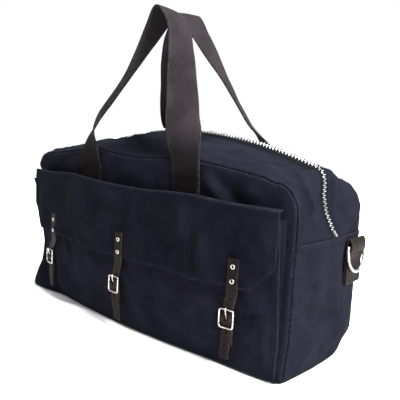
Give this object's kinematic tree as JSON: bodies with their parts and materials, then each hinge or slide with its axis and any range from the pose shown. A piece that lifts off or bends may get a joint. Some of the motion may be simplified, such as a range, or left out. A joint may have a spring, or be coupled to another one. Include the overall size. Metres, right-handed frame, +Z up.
{
  "type": "weekender bag",
  "caption": "Soft canvas weekender bag with a zipped top, webbing carry handles, a buckled flap pocket on the front and a D-ring at each end.",
  "frame": {"origin": "middle of the underside, where the bag stands", "axes": "+X along the bag, -Y towards the pocket side, +Z up"},
  "size_m": [0.6006, 0.275, 0.5125],
  "materials": {
    "canvas": "matte dark navy cotton canvas",
    "webbing": "ribbed charcoal cotton webbing",
    "zip_tape": "woven near-black zip tape",
    "leather": "dark brown bridle leather, semi-matte",
    "zip_metal": "bright silver zip metal",
    "nickel": "polished nickel"
  },
  "bodies": {
    "bag": {"front_panel": "canvas", "back_panel": "canvas", "bottom_panel": "canvas", "end_panel_left": "canvas", "end_panel_right": "canvas", "zip_gusset_front": "canvas", "zip_gusset_back": "canvas", "pocket_panel": "canvas", "pocket_gusset_left": "canvas", "pocket_gusset_right": "canvas", "pocket_flap_yoke": "canvas", "handle_anchor_front_left": "webbing", "handle_anchor_front_right": "webbing", "handle_anchor_back_left": "webbing", "handle_anchor_back_right": "webbing", "zip_tape_front": "zip_tape", "zip_tape_back": "zip_tape", "zip_chain": "zip_metal", "zip_stop_left": "zip_metal", "zip_stop_right": "zip_metal", "buckle_chape_left": "leather", "buckle_chape_middle": "leather", "buckle_chape_right": "leather", "dring_tab_left": "leather", "dring_tab_right": "leather"},
    "flap": {"pocket_flap": "canvas", "strap_left": "leather", "strap_middle": "leather", "strap_right": "leather", "rivet_left_upper": "nickel", "rivet_left_lower": "nickel", "rivet_middle_upper": "nickel", "rivet_middle_lower": "nickel", "rivet_right_upper": "nickel", "rivet_right_lower": "nickel"},
    "handle_front": {"handle_front": "webbing"},
    "handle_back": {"handle_back": "webbing"},
    "dring_left": {"dring_left": "nickel"},
    "dring_right": {"dring_right": "nickel"},
    "zip_slider": {"zip_slider": "zip_metal"},
    "zip_pull": {"zip_pull": "zip_metal"},
    "buckle_left": {"buckle_frame_left": "nickel"},
    "tongue_left": {"buckle_tongue_left": "nickel"},
    "buckle_middle": {"buckle_frame_middle": "nickel"},
    "tongue_middle": {"buckle_tongue_middle": "nickel"},
    "buckle_right": {"buckle_frame_right": "nickel"},
    "tongue_right": {"buckle_tongue_right": "nickel"}
  },
  "joints": [
    {"name": "handle_front_swing", "type": "hinge", "parent": "bag", "child": "handle_front", "pos_m": [0, -0.1218, 0.262], "axis": [-1, 0, 0], "range_deg": [-130, 0]},
    {"name": "handle_back_swing", "type": "hinge", "parent": "bag", "child": "handle_back", "pos_m": [0, 0.1218, 0.262], "axis": [1, 0, 0], "range_deg": [-170, 0]},
    {"name": "flap_open", "type": "hinge", "parent": "bag", "child": "flap", "pos_m": [0, -0.137, 0.232], "axis": [-1, 0, 0], "range_deg": [0, 150], "deforming": ["strap_left", "strap_middle", "strap_right"]},
    {"name": "dring_left_swing", "type": "hinge", "parent": "bag", "child": "dring_left", "pos_m": [-0.2937, 0.055, 0.168], "axis": [0, 1, 0], "range_deg": [0, 150]},
    {"name": "dring_right_swing", "type": "hinge", "parent": "bag", "child": "dring_right", "pos_m": [0.2937, 0.055, 0.168], "axis": [0, -1, 0], "range_deg": [0, 150]},
    {"name": "zip_slide", "type": "slide", "parent": "bag", "child": "zip_slider", "axis": [0.3422, 0, 0.9396], "range_m": [0, 0.038]},
    {"name": "zip_pull_swing", "type": "hinge", "parent": "zip_slider", "child": "zip_pull", "pos_m": [-0.28528, 0, 0.20795], "axis": [0, 1, 0], "range_deg": [0, 150]},
    {"name": "buckle_left_tilt", "type": "hinge", "parent": "bag", "child": "buckle_left", "pos_m": [-0.20714, -0.128, 0.078], "axis": [0.99, -0.1411, 0], "range_deg": [-5, 5]},
    {"name": "tongue_left_swing", "type": "hinge", "parent": "buckle_left", "child": "tongue_left", "pos_m": [-0.20714, -0.128, 0.078], "axis": [0.99, -0.1411, 0], "range_deg": [0, 110]},
    {"name": "buckle_middle_tilt", "type": "hinge", "parent": "bag", "child": "buckle_middle", "pos_m": [0, -0.14574, 0.078], "axis": [1, 0, 0], "range_deg": [-5, 5]},
    {"name": "tongue_middle_swing", "type": "hinge", "parent": "buckle_middle", "child": "tongue_middle", "pos_m": [0, -0.14574, 0.078], "axis": [1, 0, 0], "range_deg": [0, 110]},
    {"name": "buckle_right_tilt", "type": "hinge", "parent": "bag", "child": "buckle_right", "pos_m": [0.20714, -0.128, 0.078], "axis": [0.99, 0.1411, 0], "range_deg": [-5, 5]},
    {"name": "tongue_right_swing", "type": "hinge", "parent": "buckle_right", "child": "tongue_right", "pos_m": [0.20714, -0.128, 0.078], "axis": [0.99, 0.1411, 0], "range_deg": [0, 110]}
  ]
}
